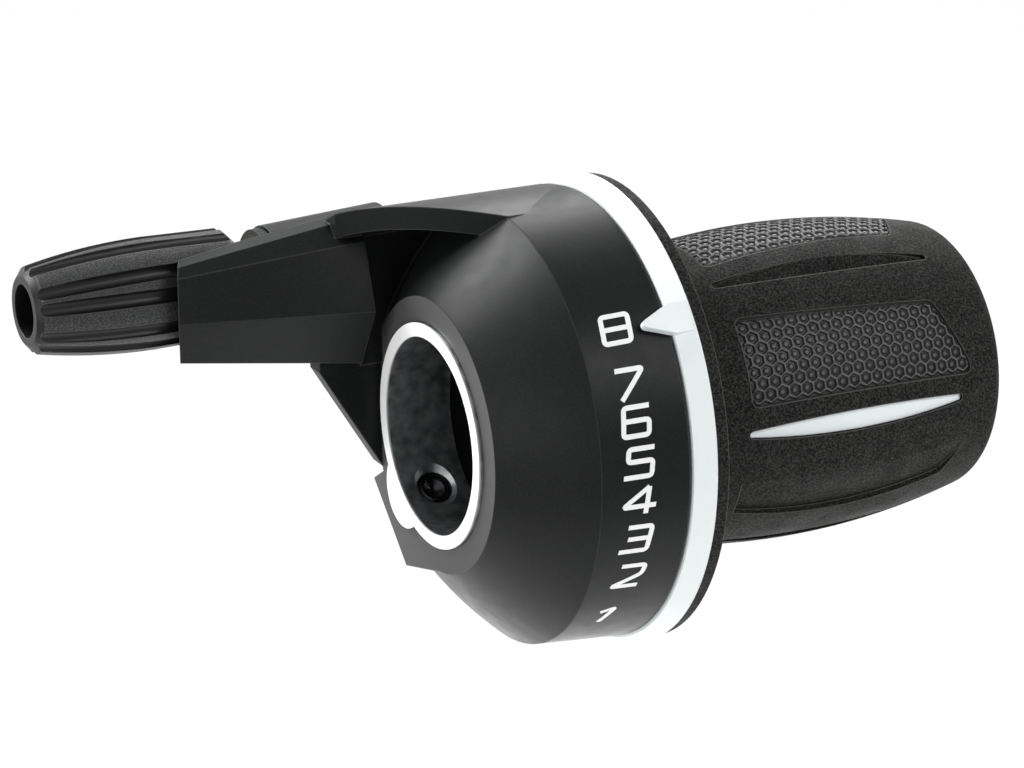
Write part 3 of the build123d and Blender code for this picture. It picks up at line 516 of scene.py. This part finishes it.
pale_plastic, shader = finish("pale_plastic", gloss=0.3)
normal, _ = soft_edges(pale_plastic, PALE_EDGE_R)
cloud(pale_plastic, shader, size=4.0, detail=4.0, dark=PALE_DARK, light=PALE_LIGHT)
patches(pale_plastic, shader, size=1.0, detail=4.0, smooth=0.3, dull=0.46)
relief(pale_plastic, shader, noise(pale_plastic, PALE_GRAIN, detail=2.0), PALE_GRAIN_DEPTH, normal)
dress("grip_core", pale_plastic)
piece("pointer_face", [pointer_face()], pale_plastic, "grip")

# Grip rubber: a soft charcoal sleeve moulded over the core, with a coarse dull grain that catches light as
# pale specks. Its edges are painted lighter, partly as scuffs and partly as painted highlight.
RUBBER_DARK, RUBBER_LIGHT = (0.001, 0.0011, 0.0012), (0.043, 0.0425, 0.0405)
RUBBER_SCUFF_AND_SHEEN, RUBBER_EDGE_R = (0.11, 0.108, 0.102), 0.22
RUBBER_GRAIN, RUBBER_GRAIN_DEPTH = 0.24, 0.06

charcoal_rubber, shader = finish("charcoal_rubber", gloss=0.09)
links = charcoal_rubber.node_tree.links
normal, edge_wear_and_sheen = soft_edges(charcoal_rubber, RUBBER_EDGE_R)
specks = noise(charcoal_rubber, RUBBER_GRAIN, detail=3.0)
grain = spread(charcoal_rubber, specks, low=0.40, high=0.70)
body = blend_colour(charcoal_rubber, grain, RUBBER_DARK, RUBBER_LIGHT)
# Painted highlight on the rubber's edges, partly as scuffing.
links.new(blend_colour(charcoal_rubber, edge_wear_and_sheen, body, RUBBER_SCUFF_AND_SHEEN), shader.inputs["Base Color"])
patches(charcoal_rubber, shader, size=3.0, detail=3.0, smooth=0.66, dull=0.82)
relief(charcoal_rubber, shader, specks, RUBBER_GRAIN_DEPTH, normal)
dress("grip_rubber", charcoal_rubber)

# Tread panels: five sunk panels of the same rubber, each a honeycomb of thin walls with a round button in
# every cell, moulded with the sleeve. Their tops are coloured paler by height, partly as wear and partly as
# painted highlight, and the floor between them is darkened as painted shade.
TREAD_ANGLES = (29.0, 89.0, 149.0, 209.0, 269.0)
TREAD_X0, TREAD_X1 = 31.5, 60.9
TREAD_HALF, TREAD_TAPER, TREAD_SLANT = 5.1, 1.4, 4.2
TREAD_CORNER, TREAD_INSET, TREAD_SINK = 0.9, 0.1, 0.35
TREAD_KNEE, TREAD_NARROWEST = 4.0, 0.2
TREAD_STATIONS, TREAD_ACROSS = 290, 104
SLEEVE_ARC = ((26.0, 16.5), (43.0, 18.1), (63.6, 15.7))
SLEEVE_MEAN_R = 17.7
CELL_PITCH = 1.5
WALL_HALF, WALL_FOOT, WALL_HEIGHT = 0.11, 1.6, 0.28
BUTTON_R, BUTTON_HEIGHT, BUTTON_DOME, BUTTON_WEAR_AND_SHEEN = 0.36, 0.17, 4, 0.68
BORDER_GAP, BORDER_FADE = 0.12, 0.2
FLOOR_LIFT, SLAB_ROOT = 0.02, 0.2
TREAD_FLOOR_PAINTED_SHADE = (0.0015, 0.0016, 0.0017)
TREAD_TOP_SHEEN_DARK, TREAD_TOP_SHEEN_PALE = (0.055, 0.0555, 0.055), (0.14, 0.14, 0.138)


def honeycomb(x, y):
    """Height over a honeycomb of cells in rows along x, and a share for the colour that follows the height:
    wear and painted highlight. Measured from the nearest cell's middle, the border is half a pitch away along
    each of three directions; a wall stands on it and a lower domed button on the middle, which gets a smaller
    share."""
    row = CELL_PITCH * math.sqrt(3.0)
    near = [np.stack([x - CELL_PITCH * (np.round(x / CELL_PITCH - shift) + shift),
                      y - row * (np.round(y / row - shift) + shift)]) for shift in (0.0, 0.5)]
    reach = [np.hypot(*part) for part in near]
    dx, dy = np.abs(np.where(reach[0] < reach[1], near[0], near[1]))
    border = CELL_PITCH / 2 - np.maximum(dx, dx / 2 + dy * math.sqrt(0.75))
    wall = np.clip(WALL_FOOT - border / WALL_HALF, 0.0, 1.0)
    button = np.sqrt(np.clip(1.0 - (np.minimum(*reach) / BUTTON_R) ** BUTTON_DOME, 0.0, 1.0))
    height = np.maximum(WALL_HEIGHT * wall, BUTTON_HEIGHT * button)
    return height, np.maximum(wall, BUTTON_WEAR_AND_SHEEN * button)


def tread_panel(angle, side):
    """Closed slab in one sunk panel, and each point's share of wear and painted highlight. Its top spans the
    panel's two edges at every station along the bar: one edge is straight, the other tapers and then slants
    to the tail in a soft knee, and corners are rounded off. The top's radius is the sleeve's arc less the
    sink plus the honeycomb's height, which fades to a groove along the border, and two low corners close the
    slab inside the rubber."""
    tail = TREAD_CORNER / math.tan(math.atan2(2 * TREAD_HALF - TREAD_TAPER, TREAD_SLANT) / 2)
    tail_x = TREAD_X1 - tail
    x = np.linspace(TREAD_X0 + TREAD_INSET, tail_x + TREAD_CORNER - TREAD_INSET, TREAD_STATIONS)
    neck = np.clip(TREAD_CORNER - (x - TREAD_X0), 0.0, TREAD_CORNER)
    end = np.clip(x - tail_x, 0.0, TREAD_CORNER)
    neck_round, end_round = (TREAD_CORNER - np.sqrt(TREAD_CORNER ** 2 - gone ** 2) for gone in (neck, end))
    knee_x = TREAD_X1 - TREAD_SLANT
    taper = TREAD_HALF - TREAD_TAPER * (x - TREAD_X0) / (knee_x - TREAD_X0)
    fall = (2 * TREAD_HALF - TREAD_TAPER) * (x - knee_x) / TREAD_SLANT
    slant = (TREAD_HALF - TREAD_TAPER) - fall
    knee = -np.log(np.exp(-TREAD_KNEE * taper) + np.exp(-TREAD_KNEE * slant)) / TREAD_KNEE
    straight = -TREAD_HALF + neck_round + end_round + TREAD_INSET
    sloped = np.maximum(knee - neck_round - 2 * TREAD_INSET, straight + TREAD_NARROWEST)
    low, high = (straight, sloped) if side > 0 else (-sloped, -straight)
    low, high = low[:, None], high[:, None]
    t = low + (high - low) * np.linspace(0.0, 1.0, TREAD_ACROSS)
    through = np.insert(np.array(SLEEVE_ARC), 2, 1.0, axis=1)
    arc = np.linalg.solve(through, -(through[:, 0] ** 2 + through[:, 1] ** 2))
    arc_x, arc_r = -arc[0] / 2, -arc[1] / 2
    sleeve = arc_r + np.sqrt(arc_x ** 2 + arc_r ** 2 - arc[2] - (x - arc_x) ** 2) - TREAD_SINK
    around = SLEEVE_MEAN_R * np.arcsin(t / SLEEVE_MEAN_R)
    cells, wear_and_sheen = honeycomb(np.broadcast_to(x[:, None], t.shape), around)
    ends = np.minimum(x - x[0], x[-1] - x)[:, None]
    border = np.minimum(np.minimum(t - low, high - t), ends)
    fade = np.clip((border - BORDER_GAP) / BORDER_FADE, 0.0, 1.0)
    top = sleeve[:, None] + FLOOR_LIFT + cells * fade
    root = np.repeat((sleeve - SLAB_ROOT)[:, None], 2, axis=1)
    r = np.concatenate([top, root], axis=1)
    t = np.concatenate([t, high, low], axis=1)
    wear_and_sheen = np.concatenate([wear_and_sheen * fade, np.zeros(root.shape)], axis=1)
    return skin(about_bar(x, t, r, angle)), wear_and_sheen.ravel()


tread_wear_and_sheen, shader = finish("tread_wear_and_sheen", gloss=0.36)
nodes, links = tread_wear_and_sheen.node_tree.nodes, tread_wear_and_sheen.node_tree.links
wear_and_sheen_share = nodes.new("ShaderNodeAttribute")
wear_and_sheen_share.attribute_name = "wear_and_sheen"
specks = noise(tread_wear_and_sheen, size=0.22, detail=2.0)
grain = spread(tread_wear_and_sheen, specks, low=0.36, high=0.7)
top = blend_colour(tread_wear_and_sheen, grain, TREAD_TOP_SHEEN_DARK, TREAD_TOP_SHEEN_PALE)
height = spread(tread_wear_and_sheen, wear_and_sheen_share.outputs["Fac"], low=0.45, high=0.9)
# Painted highlight on the tread tops, partly as wear, and painted shade on the floor between them.
links.new(blend_colour(tread_wear_and_sheen, height, TREAD_FLOOR_PAINTED_SHADE, top), shader.inputs["Base Color"])
worn = spread(tread_wear_and_sheen, specks, NOISE_LOW, NOISE_HIGH, to_low=0.42, to_high=0.62)
links.new(worn, shader.inputs["Roughness"])
for number, angle in enumerate(TREAD_ANGLES):
    slab, wear_and_sheen = tread_panel(angle, 1 if number % 2 == 0 else -1)
    tread = piece(f"tread_panel_{number + 1}", [slab], tread_wear_and_sheen, "grip")
    tread.data.attributes.new("wear_and_sheen", "FLOAT", "POINT").data.foreach_set("value", wear_and_sheen)

# Studio: a pale paper floor well under the part, a broad soft lamp behind it to the left, weaker ones behind
# and in front to the right and low to the left, and light thrown up by the table, which only reflections
# show. The camera stands where the photographer stood, with a long lens.
EYE = (-177.7, -375.6, 150.3)
LOOK = (0.423, 0.845, -0.328)
LENS, SENSOR, NEAREST = 140.6, 36.0, 10.0
WORLD_LIGHT = 0.28
FLOOR_Z, FLOOR_R, FLOOR_SIDES = -80.0, 900.0, 96
FLOOR_FADE_R, FLOOR_END_R = 0.35 * FLOOR_R, 0.98 * FLOOR_R
FLOOR_DARK, FLOOR_LIGHT = (0.61, 0.61, 0.60), (0.63, 0.63, 0.625)
FLOOR_DULL, FLOOR_WHITE_SHARE = 0.9, 0.94

camera = bpy.data.objects.new("camera", bpy.data.cameras.new("camera"))
camera.data.lens = LENS
camera.data.sensor_width = SENSOR
camera.data.clip_start = NEAREST * MM
camera.location = Vector(EYE) * MM
camera.rotation_euler = Vector(LOOK).to_track_quat("-Z", "Y").to_euler()
bpy.context.scene.collection.objects.link(camera)
bpy.context.scene.camera = camera


def lamp(name, place, target, size, watts):
    """Square area lamp at a place, turned to face a target, both in millimetres."""
    light = bpy.data.lights.new(name, "AREA")
    light.size = size * MM
    light.energy = watts
    thing = bpy.data.objects.new(name, light)
    thing.location = Vector(place) * MM
    thing.rotation_euler = (Vector(target) * MM - thing.location).to_track_quat("-Z", "Y").to_euler()
    bpy.context.scene.collection.objects.link(thing)
    return thing


lamp("left_back", place=(-250, 320, 330), target=(5, 0, 5), size=300, watts=5.4)
lamp("right_back", place=(310, 370, 320), target=(30, 0, 10), size=240, watts=2.0)
lamp("right_front", place=(240, -400, 340), target=(30, 0, 0), size=250, watts=1.9)
lamp("left_low", place=(-570, -120, -40), target=(0, 0, 0), size=400, watts=1.5)
bounce = lamp("bounce", place=(15, -20, -78), target=(15, -20, 0), size=220, watts=0.26)
bounce.visible_diffuse = False


def white_to_eye(made):
    """1 for rays from the camera, mirrors and glass, which see plain white behind the part; 0 for light."""
    path = made.node_tree.nodes.new("ShaderNodeLightPath").outputs
    seen = maths(made, "MAXIMUM", path["Is Camera Ray"], path["Is Glossy Ray"])
    return maths(made, "MAXIMUM", seen, path["Is Transmission Ray"])


world = bpy.data.worlds.new("studio")
world.use_nodes = True
bpy.context.scene.world = world
backdrop = world.node_tree.nodes["Background"]
backdrop.inputs["Color"].default_value = (1.0, 1.0, 1.0, 1.0)
level = spread(world, white_to_eye(world), 0.0, 1.0, WORLD_LIGHT, 1.0)
world.node_tree.links.new(level, backdrop.inputs["Strength"])

floor_paper, shader = finish("floor_paper", gloss=0.1)
shader.inputs["Roughness"].default_value = FLOOR_DULL
cloud(floor_paper, shader, size=3.0, detail=4.0, dark=FLOOR_DARK, light=FLOOR_LIGHT)
nodes, links = floor_paper.node_tree.nodes, floor_paper.node_tree.links
glow = nodes.new("ShaderNodeEmission")
glow.inputs["Strength"].default_value = 1.0
clear = nodes.new("ShaderNodeBsdfTransparent")
lit = nodes.new("ShaderNodeMixShader")
white = spread(floor_paper, white_to_eye(floor_paper), 0.0, 1.0, to_high=FLOOR_WHITE_SHARE)
links.new(white, lit.inputs["Fac"])
links.new(shader.outputs["BSDF"], lit.inputs[1])
links.new(glow.outputs["Emission"], lit.inputs[2])
under = nodes.new("ShaderNodeNewGeometry")
place = nodes.new("ShaderNodeTexCoord")
reach = nodes.new("ShaderNodeVectorMath")
reach.operation = "LENGTH"
links.new(place.outputs["Object"], reach.inputs[0])
away = spread(floor_paper, reach.outputs["Value"], FLOOR_FADE_R * MM, FLOOR_END_R * MM)
faded = nodes.new("ShaderNodeMixShader")
links.new(maths(floor_paper, "MAXIMUM", under.outputs["Backfacing"], away), faded.inputs["Fac"])
links.new(lit.outputs["Shader"], faded.inputs[1])
links.new(clear.outputs["BSDF"], faded.inputs[2])
links.new(faded.outputs["Shader"], nodes["Material Output"].inputs["Surface"])
turn = np.linspace(0.0, 2 * np.pi, FLOOR_SIDES, endpoint=False)
edge = np.stack([FLOOR_R * np.cos(turn), FLOOR_R * np.sin(turn), np.full_like(turn, FLOOR_Z)], axis=1) * MM
floor_mesh = bpy.data.meshes.new("floor")
floor_mesh.from_pydata(edge.tolist(), [], [list(range(len(edge)))])
floor_mesh.materials.append(floor_paper)
floor = bpy.data.objects.new("floor", floor_mesh)
bpy.context.scene.collection.objects.link(floor)

bpy.context.scene.view_settings.view_transform = "Standard"
